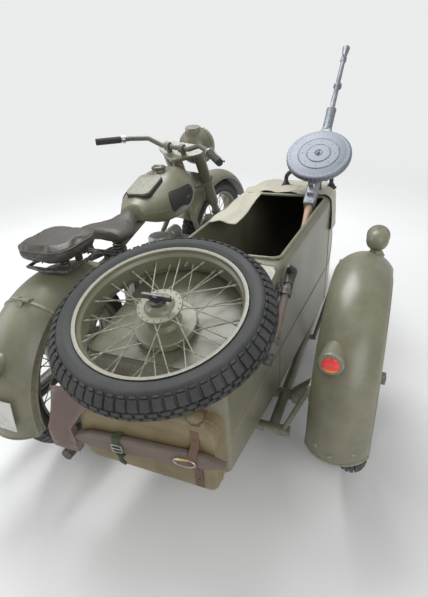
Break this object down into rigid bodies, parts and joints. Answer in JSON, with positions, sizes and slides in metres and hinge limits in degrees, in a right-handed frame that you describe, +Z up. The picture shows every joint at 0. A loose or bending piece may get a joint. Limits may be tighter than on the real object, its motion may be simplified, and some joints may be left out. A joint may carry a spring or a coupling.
{
  "type": "sidecar motorcycle",
  "caption": "Flat-twin military motorcycle with an open sidecar on its right, a spare wheel on the sidecar's trunk lid and a swivel gun on its cowl.",
  "frame": {"origin": "bottom centre of the whole machine's bounding box, on the ground", "axes": "+X to the rider's right, +Y forward, +Z up"},
  "size_m": [1.5589, 2.2556, 1.3411],
  "materials": {
    "olive_paint": "semi-gloss olive drab paint",
    "tyre_rubber": "worn block tread rubber",
    "cast_alloy": "dull cast alloy",
    "cast_iron": "painted cast iron",
    "black_steel": "black enamel",
    "bare_steel": "plain steel",
    "black_rubber": "matt rubber",
    "saddle_leather": "worn black leather",
    "seat_canvas": "dark brown imitation leather",
    "canvas": "pale khaki canvas",
    "webbing": "dark green webbing",
    "dark_paint": "dark olive paint",
    "gun_metal": "blued steel",
    "wood": "oiled wood",
    "plate_white": "blank painted plate"
  },
  "bodies": {
    "chassis": {"apron": "canvas", "axe_handle": "wood", "axe_head": "black_steel", "can_straps": "webbing", "carburettors": "cast_alloy", "cylinders": "cast_iron", "engine_block": "cast_alloy", "exhaust_system": "black_steel", "final_drive": "olive_paint", "foot_rests": "olive_paint", "frame_cradle": "olive_paint", "frame_upper": "olive_paint", "fuel_can": "olive_paint", "fuel_tank": "olive_paint", "grab_rail": "black_steel", "gun_post": "black_steel", "knee_pads": "black_rubber", "marker_lamp": "olive_paint", "pillion_saddle": "saddle_leather", "rear_axle": "bare_steel", "rear_fender": "olive_paint", "rear_suspension": "olive_paint", "rider_saddle": "saddle_leather", "seat_back": "seat_canvas", "seat_cushion": "seat_canvas", "side_tool": "wood", "sidecar_axle": "olive_paint", "sidecar_fender": "olive_paint", "sidecar_frame": "olive_paint", "sidecar_tail_lamp": "olive_paint", "sidecar_tub": "olive_paint", "toolbox_seal": "black_rubber"},
    "toolbox_lid_body": {"tank_toolbox_lid": "olive_paint"},
    "rear_tail_body": {"rear_fender_tail": "olive_paint", "tail_lamp": "olive_paint", "number_plate": "plate_white"},
    "rear_wheel_body": {"rear_wheel": "olive_paint", "rear_tyre": "tyre_rubber"},
    "steering_body": {"front_fork": "olive_paint", "front_axle": "bare_steel", "front_fender": "olive_paint", "headlight": "olive_paint", "handlebar": "dark_paint", "handlebar_grips": "black_rubber", "control_levers": "bare_steel"},
    "front_wheel_body": {"front_wheel": "olive_paint", "front_tyre": "tyre_rubber"},
    "sidecar_wheel_body": {"sidecar_wheel": "olive_paint", "sidecar_tyre": "tyre_rubber"},
    "trunk_lid_body": {"trunk_lid": "olive_paint", "spare_carrier": "black_steel", "spare_wheel": "olive_paint", "spare_tyre": "tyre_rubber"},
    "gun_swivel_body": {"gun_cradle": "black_steel"},
    "gun_body_group": {"gun_body": "gun_metal", "gun_pan": "gun_metal", "gun_stock": "wood"}
  },
  "joints": [
    {"name": "steering", "type": "hinge", "parent": "chassis", "child": "steering_body", "pos_m": [-0.37754, 0.42802, 0.8], "axis": [0, -0.4617, 0.887], "range_deg": [-28, 48]},
    {"name": "front_wheel_spin", "type": "hinge", "parent": "steering_body", "child": "front_wheel_body", "pos_m": [-0.36239, 0.7673, 0.33439], "axis": [0.9848, -0.154, -0.0802], "continuous": true},
    {"name": "rear_wheel_spin", "type": "hinge", "parent": "chassis", "child": "rear_wheel_body", "pos_m": [-0.37754, -0.66153, 0.335], "axis": [1, 0, 0], "continuous": true},
    {"name": "sidecar_wheel_spin", "type": "hinge", "parent": "chassis", "child": "sidecar_wheel_body", "pos_m": [0.70246, -0.43153, 0.335], "axis": [1, 0, 0], "continuous": true},
    {"name": "trunk_lid_hinge", "type": "hinge", "parent": "chassis", "child": "trunk_lid_body", "pos_m": [0.17846, -0.47395, 0.75433], "axis": [-1, 0, 0], "range_deg": [0, 60]},
    {"name": "toolbox_lid_hinge", "type": "hinge", "parent": "chassis", "child": "toolbox_lid_body", "pos_m": [-0.37754, 0.12375, 0.86602], "axis": [-1, 0, 0], "range_deg": [0, 100]},
    {"name": "rear_fender_tail_hinge", "type": "hinge", "parent": "chassis", "child": "rear_tail_body", "pos_m": [-0.37754, -0.82696, 0.70138], "axis": [-1, 0, 0], "range_deg": [0, 80]},
    {"name": "gun_swivel", "type": "hinge", "parent": "chassis", "child": "gun_swivel_body", "pos_m": [0.38246, 0.32847, 0.825], "axis": [0, 0, 1], "range_deg": [-20, 3]},
    {"name": "gun_elevation", "type": "hinge", "parent": "gun_swivel_body", "child": "gun_body_group", "pos_m": [0.38246, 0.32847, 0.885], "axis": [1, 0, 0], "range_deg": [-40, 5]}
  ]
}
